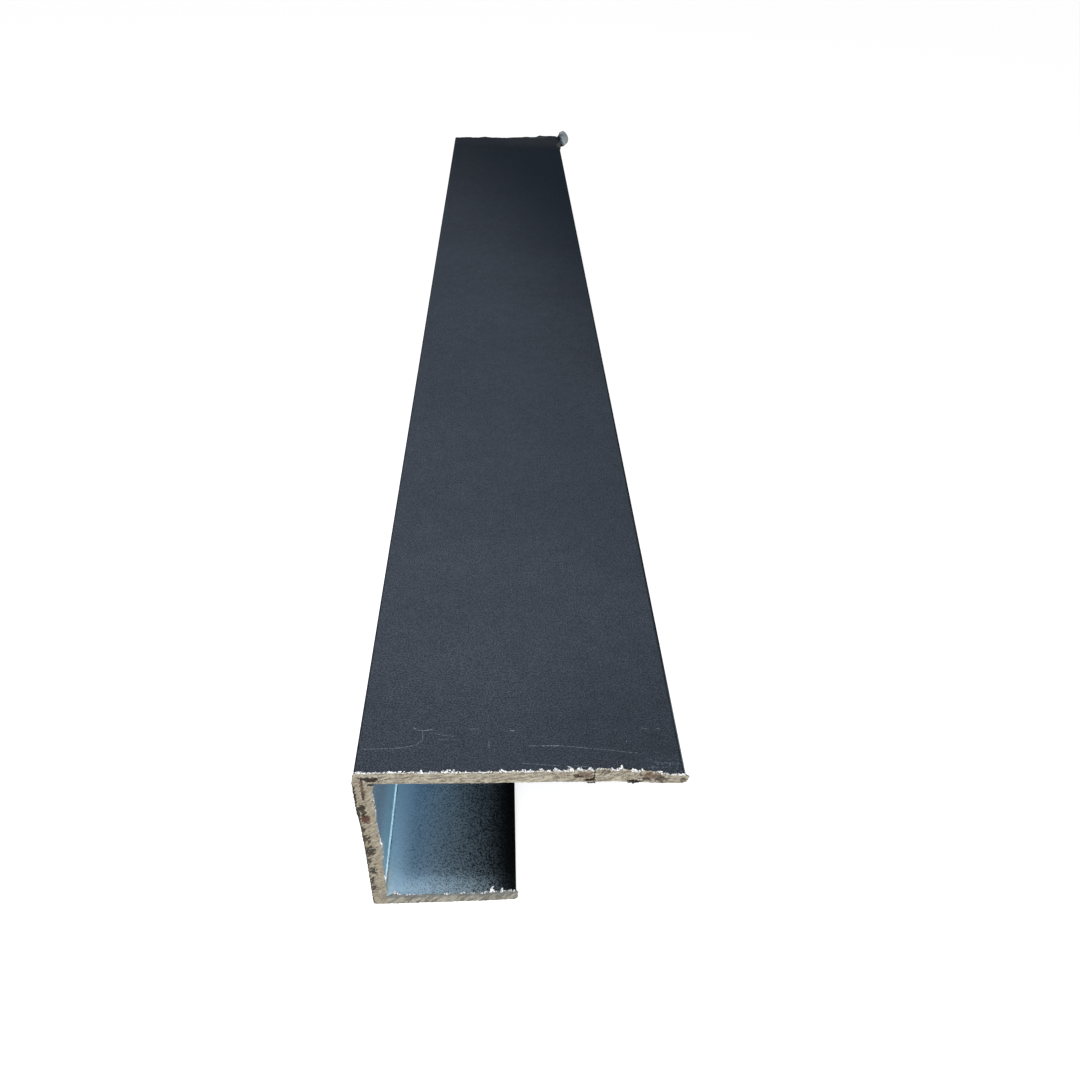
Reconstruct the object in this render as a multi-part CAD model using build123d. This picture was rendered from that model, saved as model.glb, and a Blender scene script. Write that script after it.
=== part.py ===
from build123d import *
import os

# Stock section, in millimetres
wide_flange = 40.0  # upper flange, from the outer face of the web to its free edge
short_flange = 20.0  # lower flange, from the outer face of the web to its free edge
web_height = 30.0  # from the underside of the short flange to the top of the wide one
wall = 2.0  # the same in the web and both flanges
outer_corner_radius = 0.5
inner_corner_radius = 0.5
free_edge_radius = 0.3

# Length between the two sawn ends
length = 300.0

# Torn lip at the far free corner of the wide flange, where the saw broke through
lip_reach = 4.2  # how far it stands out past the free edge
lip_run = 4.0  # how far it runs back from the far end
lip_rise = 2.7  # how far its tip stands above the wide flange
lip_sag = 0.4  # how far its bend hangs below the wide flange
lip_lean = 1.0  # how far its tip leans back towards the web
lip_lead = 8.0  # length over which the free edge swells out into the lip
lip_lead_reach = 2.0  # how far the edge has swelled out where it meets the lip
lip_root = 1.5  # how far the lip's root reaches into the sound flange


# Places that follow from those sizes. The origin is the centre of the short
# flange's underside, half-way along. X runs from the web to the open side.
web_outer_x = -short_flange / 2
web_inner_x = web_outer_x + wall
short_edge_x = web_outer_x + short_flange
wide_edge_x = web_outer_x + wide_flange
wide_under_z = web_height - wall
far_end_y = length / 2
near_end_y = -length / 2


def stock_section():
    """The channel's outline in the XZ plane, with its drawn corner radii."""
    edge_radius = min(free_edge_radius, 0.45 * wall)
    inner_radius = min(inner_corner_radius, 0.45 * (short_flange - wall))
    corners = [
        ((web_outer_x, 0), outer_corner_radius),
        ((short_edge_x, 0), edge_radius),
        ((short_edge_x, wall), edge_radius),
        ((web_inner_x, wall), inner_radius),
        ((web_inner_x, wide_under_z), inner_radius),
        ((wide_edge_x, wide_under_z), edge_radius),
        ((wide_edge_x, web_height), edge_radius),
        ((web_outer_x, web_height), outer_corner_radius),
    ]
    outline = FilletPolyline(
        [point for point, radius in corners],
        radius=[radius for point, radius in corners],
        close=True,
    )
    return Plane.XZ * make_face(outline)


def stock_length():
    """The section extruded between the two sawn ends."""
    at_far_end = Pos(0, far_end_y, 0) * stock_section()
    return extrude(at_far_end, amount=length)


def torn_lip():
    """The corner folded up on itself: a root, a bend and a standing tip one wall thick."""
    root_x = wide_edge_x - lip_root
    tip_x = wide_edge_x + lip_reach
    bend_z = wide_under_z - lip_sag
    tip_z = web_height + lip_rise
    fold = Polyline(
        (root_x, wide_under_z),
        (tip_x - wall, bend_z),
        (tip_x, bend_z + wall / 2),
        (tip_x, web_height),
        (tip_x - lip_lean, tip_z),
        (tip_x - lip_lean - wall, tip_z),
        (tip_x - wall, bend_z + wall),
        (root_x, web_height),
        close=True,
    )
    face = Pos(0, far_end_y, 0) * (Plane.XZ * make_face(fold))
    return extrude(face, amount=lip_run)


def lip_lead_in():
    """The free edge of the wide flange swelling outwards until it meets the lip."""
    lip_start_y = far_end_y - lip_run
    lead_start_y = lip_start_y - lip_lead
    swell = Polyline(
        (wide_edge_x - lip_root, lead_start_y),
        (wide_edge_x, lead_start_y),
        (wide_edge_x + lip_lead_reach, lip_start_y),
        (wide_edge_x + lip_lead_reach, lip_start_y + lip_run / 2),
        (wide_edge_x - lip_root, lip_start_y + lip_run / 2),
        close=True,
    )
    face = Pos(0, 0, wide_under_z) * make_face(swell)
    return extrude(face, amount=wall)


def channel_profile():
    """The whole piece of stock as one solid."""
    return stock_length() + torn_lip() + lip_lead_in()


os.makedirs("parts", exist_ok=True)
export_step(channel_profile(), "parts/channel_profile.step")
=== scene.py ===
import math
import random

import bmesh
import bpy
from mathutils import Euler, Matrix, Vector, noise


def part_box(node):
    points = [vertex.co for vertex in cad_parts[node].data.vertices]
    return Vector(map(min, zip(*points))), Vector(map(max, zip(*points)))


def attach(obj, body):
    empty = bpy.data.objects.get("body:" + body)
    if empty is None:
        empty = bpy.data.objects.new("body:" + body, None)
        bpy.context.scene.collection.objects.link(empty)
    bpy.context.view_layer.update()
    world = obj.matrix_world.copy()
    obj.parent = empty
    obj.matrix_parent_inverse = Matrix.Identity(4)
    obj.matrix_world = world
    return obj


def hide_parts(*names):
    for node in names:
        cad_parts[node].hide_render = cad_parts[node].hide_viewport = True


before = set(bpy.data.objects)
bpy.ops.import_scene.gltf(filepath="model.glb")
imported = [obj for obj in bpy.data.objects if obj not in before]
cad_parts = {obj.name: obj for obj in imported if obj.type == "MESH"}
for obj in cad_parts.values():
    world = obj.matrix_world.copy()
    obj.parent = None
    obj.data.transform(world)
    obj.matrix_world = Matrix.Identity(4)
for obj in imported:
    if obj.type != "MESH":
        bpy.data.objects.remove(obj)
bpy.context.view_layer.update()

MM = 0.001

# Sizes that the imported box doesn't give, in millimetres
WALL = 2.0
LIP_REACH = 4.2
LIP_RISE = 2.7
LIP_RUN = 4.0
OUTER_RADIUS = 0.5
INNER_RADIUS = 0.4
INNER_RISE = 0.3  # the inner corners are lower than they are wide
INNER_FLATNESS = 0.7  # and flattened this far towards their chord
EDGE_RADIUS = 0.2
EDGE_BEAD = 0.1  # the coat's bead stands this far out from a free edge
WEB_THINNER = 0.5  # the web's inner face lies this far behind the burr on its sawn end

# The section's edges and the two ends, in millimetres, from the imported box
low_corner, high_corner = [[value / MM for value in corner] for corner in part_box("channel_profile")]
WEB_X = low_corner[0]
WIDE_X = high_corner[0] - LIP_REACH
SHORT_X = -WEB_X
TOP_Z = high_corner[2] - LIP_RISE
NEAR_Y = low_corner[1]
FAR_Y = high_corner[1]
INSIDE_X = WEB_X + WALL - WEB_THINNER
UNDER_Z = TOP_Z - WALL  # the wide flange's lower face

# Mesh spacing, in millimetres. Rings stand at these distances from each sawn end.
FLANGE_STEP = 0.125
WEB_STEP = 0.15
WALL_STEPS = 14
CORNER_STEPS = 6
EDGE_STEPS = 4
NEAR_RINGS = (0, 0.07, 0.14, 0.22, 0.31, 0.42, 0.56, 0.75, 1.05, 1.6, 2.6, 5, 9, 22, 50, 90)
FAR_RINGS = (0, 0.12, 0.26, 0.45, 0.75, 1.2, 1.9, 2.7, 3.6, 4.6, 5.7, 6.8, 8, 9.2, 10.5, 12.2,
             14.5, 18, 30, 60)
MARKED_BAND = 9.0  # the top face's scratches lie this close to the near end
SHARP_DEGREES = 48  # sharper edges aren't smoothed

# Material slots, the two ends, the sides of the wall and the faces of the section
COAT, MARKED, INSIDE, SAWN, TORN, BRIGHT = range(6)
NEAR, FAR = -1, 1
OUTER, EDGE, INNER = range(3)
TOP, CEILING, WEB_INSIDE, WEB_OUTSIDE, FLOOR, UNDERSIDE, FREE_EDGE = range(7)


def wobble(x, y, z, size, seed):
    """Smooth noise from -1 to 1 with features about size wide."""
    shift = seed * 13.7
    return noise.noise(Vector((x / size + shift, y / size - shift, z / size + 2 * shift)))


def rough(x, y, z, size, seed, octaves=3):
    """Fractal noise, about -1 to 1, with features from size downwards."""
    level, weight, share = 0.0, 1.0, 0.0
    for octave in range(octaves):
        level += weight * wobble(x, y, z, size / 2 ** octave, seed + 3 * octave)
        share += weight
        weight *= 0.5
    return 1.6 * level / share


def smooth(value, low, high):
    """0 at low, 1 at high, with a smooth step between them."""
    part = min(max((value - low) / (high - low), 0.0), 1.0)
    return part * part * (3 - 2 * part)


def hump(value, centre, width):
    """A rounded bump of height 1 at centre."""
    return math.exp(-((value - centre) / width) ** 2)


def mix(start, end, part):
    return start + part * (end - start)


def curve(values, part):
    """A smooth curve through evenly spaced values, read at a part from 0 to 1."""
    place = part * (len(values) - 1)
    i = min(int(place), len(values) - 2)
    t = place - i
    start, end = values[i], values[i + 1]
    before, after = values[max(i - 1, 0)], values[min(i + 2, len(values) - 1)]
    bend = 2 * before - 5 * start + 4 * end - after + t * (3 * (start - end) + after - before)
    return start + 0.5 * t * (end - before + t * bend)


class Section:
    """Stations across the wall, from the wide flange's free edge round to the short one's."""

    def __init__(self):
        self.outer, self.inner = [], []
        turn_x = WEB_X + OUTER_RADIUS
        inner_turn_x = INSIDE_X + INNER_RADIUS
        self.free_edge(WIDE_X + EDGE_BEAD, TOP_Z, UNDER_Z, opening=True)
        start_x = WIDE_X + EDGE_BEAD - EDGE_RADIUS
        steps = round((start_x - inner_turn_x) / FLANGE_STEP)
        self.run((start_x, TOP_Z), (turn_x, TOP_Z), (start_x, UNDER_Z), (inner_turn_x, UNDER_Z), steps)
        self.corner((turn_x, TOP_Z - OUTER_RADIUS), (inner_turn_x, UNDER_Z - INNER_RISE), math.pi / 2)
        steps = round((TOP_Z - 2 * WALL) / WEB_STEP)
        self.run((WEB_X, TOP_Z - OUTER_RADIUS), (WEB_X, OUTER_RADIUS),
                 (INSIDE_X, UNDER_Z - INNER_RISE), (INSIDE_X, WALL + INNER_RISE), steps)
        self.corner((turn_x, OUTER_RADIUS), (inner_turn_x, WALL + INNER_RISE), math.pi)
        end_x = SHORT_X + EDGE_BEAD - EDGE_RADIUS
        steps = round((end_x - inner_turn_x) / FLANGE_STEP)
        self.run((turn_x, 0.0), (end_x, 0.0), (inner_turn_x, WALL), (end_x, WALL), steps)
        self.free_edge(SHORT_X + EDGE_BEAD, 0.0, WALL, opening=False)

    def run(self, outer_start, outer_end, inner_start, inner_end, steps):
        """Stations along a straight stretch of wall."""
        for step in range(1, steps + 1):
            part = step / steps
            self.outer.append(tuple(mix(a, b, part) for a, b in zip(outer_start, outer_end)))
            self.inner.append(tuple(mix(a, b, part) for a, b in zip(inner_start, inner_end)))

    def corner(self, outer, inner, start):
        """Stations round a quarter turn about two centres, from the start angle."""
        end = start + math.pi / 2
        for step in range(1, CORNER_STEPS + 1):
            part = step / CORNER_STEPS
            angle = mix(start, end, part)
            across, up = math.cos(angle), math.sin(angle)
            self.outer.append((outer[0] + OUTER_RADIUS * across, outer[1] + OUTER_RADIUS * up))
            across = mix(across, mix(math.cos(start), math.cos(end), part), INNER_FLATNESS)
            up = mix(up, mix(math.sin(start), math.sin(end), part), INNER_FLATNESS)
            self.inner.append((inner[0] + INNER_RADIUS * across, inner[1] + INNER_RISE * up))

    def free_edge(self, x, outer_z, inner_z, opening):
        """Stations round a free edge, from its tip when opening and towards it otherwise."""
        angles = [math.pi / 2 * step / EDGE_STEPS for step in range(EDGE_STEPS + 1)]
        if not opening:
            angles = angles[-2::-1]
        middle = (outer_z + inner_z) / 2
        side = 1 if outer_z > inner_z else -1
        for angle in angles:
            reach = side * (WALL / 2 - EDGE_RADIUS * (1 - math.sin(angle)))
            edge_x = x - EDGE_RADIUS * (1 - math.cos(angle))
            self.outer.append((edge_x, middle + reach))
            self.inner.append((edge_x, middle - reach))

    def at(self, station, step):
        """A point of the section, some steps in from the outer side."""
        part = step / WALL_STEPS
        outer, inner = self.outer[station], self.inner[station]
        return mix(outer[0], inner[0], part), mix(outer[1], inner[1], part)


# Lumps of bright metal along the near end's two burred edges, in millimetres: place along the
# flange, half width and height above the edge
TOP_LUMPS = ((-9.4, 0.5, 0.2), (-8.7, 0.25, 0.15), (-7.7, 0.6, 0.1), (-6.5, 0.4, 0.1), (-5.4, 0.6, 0.16),
             (-4.2, 0.5, 0.15), (-2.7, 0.6, 0.14), (-1.8, 0.1, 0.5), (-0.6, 0.6, 0.12), (0.9, 0.35, 0.35),
             (1.5, 0.3, 0.55), (2.0, 0.2, 0.4), (2.6, 0.3, 0.28), (3.5, 0.15, 0.15), (5.0, 0.2, 0.2),
             (6.5, 0.3, 0.2), (7.8, 0.5, 0.3), (9.5, 0.4, 0.14), (10.4, 0.25, 0.35), (11.3, 0.35, 0.2),
             (12.5, 0.3, 0.4), (13.5, 0.2, 0.25), (14.4, 0.4, 0.42), (15.3, 0.3, 0.16), (16.1, 0.35, 0.75),
             (17.2, 0.35, 0.5), (18.5, 0.3, 0.6), (19.6, 0.5, 0.2), (21.1, 0.3, 0.25), (22.0, 0.4, 0.3),
             (22.3, 0.18, 0.8), (23.8, 0.3, 0.5), (24.7, 0.3, 0.35), (26.9, 0.35, 0.35), (27.7, 0.4, 0.2),
             (29.1, 0.25, 0.12), (29.8, 0.3, 0.12))
SHORT_LUMPS = ((-6.7, 0.25, 0.4), (-6.3, 0.2, 0.0), (-5.0, 0.3, 0.03), (-4.3, 0.15, 0.03), (-3.1, 0.15, 0.05),
               (0.1, 0.3, 0.04), (2.6, 0.4, 0.1), (4.2, 0.2, 0.03), (5.2, 0.2, 0.05), (5.8, 0.25, 0.14),
               (6.8, 0.3, 0.2), (8.2, 0.25, 0.14), (9.2, 0.3, 0.12), (9.8, 0.15, 0.2))

# Raw metal that the saw smeared up over those edges: place, half width and height
TOP_SMEARS = ((17.4, 0.9, 0.2), (20.2, 1.0, 0.55), (22.6, 0.9, 0.2), (25.9, 1.3, 0.42))
SHORT_SMEARS = ((-6.7, 0.5, 0.75), (-5.4, 0.4, 0.1), (6.6, 0.9, 0.3), (8.6, 1.5, 0.34))

# Raised coat and metal along the far end's top edge: place, half width and height
FAR_BURRS = ((-5.2, 1.6, 0.14), (1.6, 1.8, 0.24), (13.6, 2.4, 0.12), (17.8, 2.0, 0.3), (22.6, 2.4, 0.36),
             (27.2, 2.0, 0.24))

# Flakes of coat that hang under the wide flange: place, half width and number
FLAKES = ((24.0, 0.7, 16), (18.7, 0.5, 10), (-8.0, 0.3, 4))

# Curls of metal: the foot's place along the flange, behind the sawn face and above the edge, then
# the rise, the lean sideways and inwards, the width and a seed
TOP_CURLS = ((-1.8, 0.1, -0.02, 0.5, (-0.05, 0.1), 0.16, 9), (1.9, 0.1, -0.02, 0.4, (0.2, 0.2), 0.16, 13),
             (16.2, 0.2, 0.0, 0.7, (-0.5, 0.2), 0.3, 17), (22.3, 0.2, 0.0, 0.85, (0.05, 0.2), 0.26, 19))
SHORT_CURLS = ((6.55, 0.0, 0.2, 1.3, (0.4, 0.15), 0.42, 3), (6.95, 0.05, 0.2, 0.6, (-0.2, 0.1), 0.3, 4),
               (8.05, 0.0, 0.25, 0.9, (0.15, 0.1), 0.34, 5))

# Small crumbs along the top edge, the short flange's edge and the web's inner edge
TOP_CRUMBS = 420
SHORT_CRUMBS = 60
WEB_CRUMBS = 150
CRUMB_TURN = 0.6
CRUMB_LUMPINESS = 0.6

BURR_CREST = 0.06  # a burr is tallest this far behind the sawn face
BURR_WIDTH = 0.24


def bumps(places, x):
    return sum(tall * hump(x, centre, width) for centre, width, tall in places)


def face_at(x, z, side):
    """Which face of the section a station lies on."""
    if side == EDGE:
        return FREE_EDGE
    if side == OUTER and z > TOP_Z - 0.2:
        return TOP
    if side == OUTER:
        return UNDERSIDE if z < 0.2 else WEB_OUTSIDE
    if z < WALL + 0.2:
        return FLOOR
    return WEB_INSIDE if x < WEB_X + WALL + 0.3 else CEILING


def near_shift(x, z):
    """How far the near sawn face lies inside the square end plane."""
    lean = 0.22 * (1 - z / TOP_Z)
    skew = 0.019 * (x - WEB_X) * (1 - smooth(z, WALL + 0.5, WALL + 3))
    right = smooth(x, 22, 28.5)
    pull = right * (0.2 + 0.32 * smooth(z, UNDER_Z, TOP_Z))
    middle = 0.1 * smooth(x, 6, 12) * (1 - right)
    return 0.02 + lean + skew + middle - pull + 0.05 * rough(x, 0, z, size=3.0, seed=4)


def far_shift(x, z):
    """How far the far sawn face lies inside the end plane; the cut is out of square."""
    slant = mix(3.1, -1.1, (x - WEB_X) / (WIDE_X - WEB_X))
    nick = 0.45 * hump(x, 9.5, 2.4)
    return slant + nick + 0.1 * rough(x, 0, z, size=4.0, seed=9)


def saw_marks(x, z, seed):
    """Grooves and pits that the blade left on a sawn face, slanting with the cut."""
    on_web = x < WEB_X + WALL + 0.4 and z < UNDER_Z
    slope = 0.8 if on_web else 0.22
    if z < WALL:
        slope = 0.5
    along = math.cos(slope) * x + math.sin(slope) * z
    across = math.cos(slope) * z - math.sin(slope) * x
    groove = rough(along / 4, 0, across, size=0.4, seed=seed, octaves=2)
    pits = rough(x, 3, z, size=0.6, seed=seed + 7)
    torn = smooth(x, 12, 17) * (1 - smooth(x, 27.5, 29))
    lumps = rough(x, 5, z, size=0.9, seed=seed + 11)
    return 0.07 * groove + 0.07 * min(pits + 0.1, 0.0) + 0.16 * torn * lumps


def near_burr(x, z, side):
    """Height of the burr that stands off the skin at the near end."""
    face = face_at(x, z, side)
    fine = max(0.0, rough(x, z, side, size=0.55, seed=21, octaves=2))
    bead = max(0.0, wobble(x, z, side, size=0.3, seed=25))
    teeth = rough(x, side, z, size=0.45, seed=33, octaves=2)
    if face == TOP:
        torn = 0.13 * smooth(x, 12, 16) * (1 - smooth(x, 28.5, 29.5))
        jagged = torn * rough(x, 1, z, size=0.35, seed=35, octaves=2)
        return 0.02 + 0.06 * fine + 0.1 * bead + bumps(TOP_SMEARS, x) * (0.8 + 0.9 * teeth) + jagged
    if face == FLOOR:
        return 0.08 * fine + 0.1 * bead + bumps(SHORT_SMEARS, x) * (0.75 + 0.5 * teeth)
    if face == WEB_INSIDE:
        swell = 0.24 * hump(z, 14.2, 2.8) + 0.3 * hump(z, 27.6, 0.6)
        return WEB_THINNER + 0.08 + swell + 0.08 * teeth + 0.1 * bead
    if face == CEILING:
        return 0.02 + 0.07 * fine + 0.3 * hump(x, 23.5, 0.35) + 0.12 * hump(x, 18.5, 0.6)
    if face == UNDERSIDE:
        return 0.01 * fine
    if face == WEB_OUTSIDE:
        round_off = 1 - 0.75 * smooth(z, TOP_Z - 1.7, TOP_Z - 0.4)
        return 0.3 * round_off * smooth(z, 18, 23.5) - 0.07 * (1 - smooth(z, 12, 18)) + 0.09 * teeth
    return (0.5 if x > SHORT_X + 1 else 0.32) * (0.7 + 0.4 * fine)


def far_burr(x, z, side):
    """Height of the coat's raised edge at the far end."""
    face = face_at(x, z, side)
    fine = max(0.0, rough(x, z, side, size=0.8, seed=41))
    if face == TOP:
        return 0.02 + 0.14 * fine + bumps(FAR_BURRS, x)
    if face == UNDERSIDE:
        return 0.01 * fine
    return 0.03 + 0.1 * fine


def bright_width(x, z, side):
    """How far in from the near end the coat is off and the burr shows."""
    face = face_at(x, z, side)
    patchy = rough(x, z, 0, size=0.5, seed=61, octaves=2)
    if face == TOP:
        return 0.1 + 0.1 * patchy + 0.12 * bumps(TOP_LUMPS, x) + 0.5 * bumps(TOP_SMEARS, x)
    if face == FLOOR:
        return 0.12 + 0.1 * patchy + 0.4 * bumps(SHORT_SMEARS, x)
    if face == WEB_INSIDE:
        return 0.14 + 0.14 * patchy
    if face == FREE_EDGE:
        return 0.3 + 0.2 * patchy
    return -0.05 + 0.1 * patchy


def fold_place(back):
    """Where the line round the top's far free corner lies, at a distance back from the far end."""
    return WIDE_X + 0.3 - 5.2 * max(0.0, (16 - back) / 14.6) ** 4


def crest(x, y):
    """The top's far free corner, folded up beyond a curved line and torn at the lip."""
    back = FAR_Y - y
    fade = 1 - smooth(back, 8, 15)
    torn = 0.75 * smooth(x, WIDE_X - 1.3, WIDE_X - 0.1) * (1 - smooth(back, 3, 5))
    return fade * (0.42 * smooth(x, fold_place(back) - 1.0, fold_place(back) + 1.0) - torn)


def swelling(x, y):
    """How far the wide flange's free edge swells out where it runs into the lip."""
    return 0.9 * smooth(y, FAR_Y - 15, FAR_Y - 5) * smooth(x, WIDE_X - 2, WIDE_X)


def skin_vertex(point, side, normal, distance, end):
    """A ring's vertex, moved by the burr and the sawn face of the end that it is near."""
    x, z = point
    near = end == NEAR
    shift = near_shift(x, z) if near else far_shift(x, z)
    fade = 1 - smooth(distance, 0.3, 2.6) if near else 1 - smooth(distance, 1, 40)
    y_in = distance + shift * fade
    lift = 0.0
    if distance < 1.0:
        tall = near_burr(x, z, side) if near else far_burr(x, z, side)
        ragged = 0.05 * rough(x, z, 0, size=0.4, seed=51 + end, octaves=2)
        y_in += ragged * (1 - smooth(distance, 0.0, 0.4))
        lift = tall * hump(distance, BURR_CREST, BURR_WIDTH)
    y = NEAR_Y + y_in if near else FAR_Y - y_in
    x += lift * normal[0]
    z += lift * normal[1]
    if not near and side == OUTER and z > TOP_Z - 0.5 and distance < 16:
        z += crest(x, y)
    if not near and distance < 18 and x > WIDE_X - 2:
        x += swelling(x, y)
    return x, y, z


def profile_mesh():
    """The whole channel as one closed skin, with fine rings and relief at the sawn ends."""
    section = Section()
    last = len(section.outer) - 1
    loop = [(station, 0, OUTER) for station in range(last + 1)]
    loop += [(last, step, EDGE) for step in range(1, WALL_STEPS)]
    loop += [(station, WALL_STEPS, INNER) for station in range(last, -1, -1)]
    loop += [(0, step, EDGE) for step in range(WALL_STEPS - 1, 0, -1)]
    points = [section.at(station, step) for station, step, side in loop]
    size = len(loop)

    normals = []
    for i in range(size):
        before, after = points[i - 1], points[(i + 1) % size]
        dx, dz = after[0] - before[0], after[1] - before[1]
        length = math.hypot(dx, dz)
        normals.append((-dz / length, dx / length))
    on_top = EDGE_STEPS + 5  # a point of the top face, where the normal has to point up
    outward = -1 if normals[on_top][1] < 0 else 1
    normals = [(outward * nx, outward * nz) for nx, nz in normals]

    rings = [(distance, NEAR) for distance in NEAR_RINGS]
    rings += [(distance, FAR) for distance in reversed(FAR_RINGS)]
    vertices, faces, slots = [], [], []
    for distance, end in rings:
        for (station, step, side), point, normal in zip(loop, points, normals):
            vertices.append(skin_vertex(point, side, normal, distance, end))

    bare = [bright_width(x, z, side) for (station, step, side), (x, z) in zip(loop, points)]
    for ring in range(len(rings) - 1):
        (distance, end), (following, next_end) = rings[ring], rings[ring + 1]
        base = ring * size
        marked = next_end == NEAR and following <= MARKED_BAND
        for i in range(size):
            j = (i + 1) % size
            faces.append((base + i, base + j, base + size + j, base + size + i))
            side = loop[i][2]
            if end == NEAR and (distance + following) / 2 < bare[i]:
                slots.append(SAWN)
            elif side == INNER:
                slots.append(INSIDE)
            elif marked and side == OUTER and points[i][1] > TOP_Z - 0.3:
                slots.append(MARKED)
            else:
                slots.append(COAT)

    index = {(station, step): i for i, (station, step, side) in enumerate(loop)}
    for base, end in ((0, NEAR), ((len(rings) - 1) * size, FAR)):
        grid = {key: base + i for key, i in index.items()}
        for station in range(1, last):
            outer_ring = vertices[grid[station, 0]]
            inner_ring = vertices[grid[station, WALL_STEPS]]
            for step in range(1, WALL_STEPS):
                part = step / WALL_STEPS
                x = mix(outer_ring[0], inner_ring[0], part)
                z = mix(outer_ring[2], inner_ring[2], part)
                deep = saw_marks(x, z, 81 + end)
                y = NEAR_Y + near_shift(x, z) - deep if end == NEAR else FAR_Y - far_shift(x, z) + deep
                grid[station, step] = len(vertices)
                vertices.append((x, y, z))
        for station in range(last):
            for step in range(WALL_STEPS):
                faces.append((grid[station, step], grid[station + 1, step],
                              grid[station + 1, step + 1], grid[station, step + 1]))
                slots.append(SAWN)
    return vertices, faces, slots


# The torn lip's middle line from its root to its tip, as offsets from the wide flange's free
# top edge, and half its thickness there
LIP_X = (-2.5, -0.25, 1.15, 1.95, 1.7, 1.3)
LIP_Z = (-1.0, -0.85, -0.55, 0.35, 1.5, 2.6)
LIP_HALF = (0.95, 1.25, 1.85, 2.0, 1.65, 1.0)
LIP_ALONG = 44
LIP_AROUND = 56
LIP_SQUARENESS = 0.4  # 1 makes the lip's cross-section an ellipse, 0 a rectangle

# The seam where coat meets raw metal on the lip: how far past the free edge it lies at SEAM_Z,
# and how far it draws in for each millimetre up
SEAM_OUT = 1.4
SEAM_SLOPE = 0.47
SEAM_Z = TOP_Z - 1


def lip_mesh():
    """The corner that the saw tore: a lump folded out and up, coated inside and raw outside."""
    vertices, faces, slots = [], [], []
    centre_y = FAR_Y - LIP_RUN / 2 + 0.1
    for step in range(LIP_ALONG + 1):
        part = step / LIP_ALONG
        x, z = WIDE_X + curve(LIP_X, part), TOP_Z + curve(LIP_Z, part)
        ahead, behind = min(part + 0.02, 1), max(part - 0.02, 0)
        dx = curve(LIP_X, ahead) - curve(LIP_X, behind)
        dz = curve(LIP_Z, ahead) - curve(LIP_Z, behind)
        length = math.hypot(dx, dz)
        across = (-dz / length, dx / length)
        half = curve(LIP_HALF, part)
        for turn in range(LIP_AROUND):
            angle = 2 * math.pi * turn / LIP_AROUND
            over = math.copysign(abs(math.sin(angle)) ** LIP_SQUARENESS, math.sin(angle))
            forward = math.copysign(abs(math.cos(angle)) ** LIP_SQUARENESS, math.cos(angle))
            bulge = 0.6 * max(over, 0.0) * hump(part, 0.72, 0.13)
            v = over * half + bulge
            u = forward * LIP_RUN / 2
            if forward < 0:
                u += 1.3 * smooth(over, 0.0, 0.9) * smooth(part, 0.25, 0.55)
            rag = 0.13 * rough(x + v, u, z, size=1.4, seed=91)
            vertices.append((x + across[0] * (v + rag), centre_y + u + rag, z + across[1] * (v + rag)))
            if step < LIP_ALONG:
                seam_x = WIDE_X + SEAM_OUT - SEAM_SLOPE * (z + across[1] * v - SEAM_Z)
                raw = x + across[0] * v > seam_x + 0.15 * rough(x, u, z, size=0.8, seed=95, octaves=2)
                slots.append(TORN if raw else COAT)
    for step in range(LIP_ALONG):
        for turn in range(LIP_AROUND):
            following = (turn + 1) % LIP_AROUND
            a = step * LIP_AROUND
            b = a + LIP_AROUND
            faces.append((a + turn, a + following, b + following, b + turn))
    faces.append(tuple(range(LIP_AROUND)))
    slots.append(COAT)
    top = LIP_ALONG * LIP_AROUND
    faces.append(tuple(reversed(range(top, top + LIP_AROUND))))
    slots.append(TORN)
    return vertices, faces, slots


def nodule(centre, reach, chance, seed, detail=2):
    """One crumb of bright metal, a lumpy ball squeezed and turned."""
    ball = bmesh.new()
    bmesh.ops.create_icosphere(ball, subdivisions=detail, radius=1.0)
    shape = Euler([chance.uniform(-CRUMB_TURN, CRUMB_TURN) for axis in range(3)]).to_matrix()
    vertices = []
    for vertex in ball.verts:
        point = vertex.co * (1 + CRUMB_LUMPINESS * wobble(*vertex.co, size=0.8, seed=seed))
        point = shape @ Vector([a * b for a, b in zip(point, reach)])
        vertices.append(tuple(a + b for a, b in zip(point, centre)))
    faces = [tuple(vertex.index for vertex in face.verts) for face in ball.faces]
    ball.free()
    return vertices, faces, [BRIGHT] * len(faces)


def crumbs_on(edge_z, lumps, smears, start, end, few, chance):
    """Crumbs of bright metal along one burred edge: a thin broken line, heaped up at the lumps."""
    for i in range(few):
        x = chance.uniform(start, end)
        if wobble(x, 0, edge_z, size=0.9, seed=5) < -0.12:
            continue
        small = chance.uniform(0.03, 0.065)
        centre = (x, NEAR_Y + near_shift(x, edge_z) + chance.uniform(0.0, 0.12),
                  edge_z + 0.8 * bumps(smears, x) + chance.uniform(-0.03, 0.09))
        yield nodule(centre, (small * 1.5, small, small), chance, i, detail=1)
    for place, width, height in lumps:
        count = int(4 + 75 * width * (height + 0.12))
        for i in range(count):
            off = chance.uniform(-1, 1)
            x = place + width * off
            up = height * (1 - off * off) * chance.random()
            big = chance.uniform(0.03, 0.075) + 0.045 * height
            centre = (x, NEAR_Y + near_shift(x, edge_z) + chance.uniform(-0.02, 0.2),
                      edge_z + 0.8 * bumps(smears, x) + up + chance.uniform(-0.02, 0.06))
            reach = (big * chance.uniform(0.8, 1.7), big * chance.uniform(0.7, 1.2),
                     big * chance.uniform(0.7, 1.5))
            vertices, faces, slots = nodule(centre, reach, chance, i)
            dull = chance.random() < 0.5 * smooth(place, 9, 17)
            yield vertices, faces, [SAWN] * len(faces) if dull else slots


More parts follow.
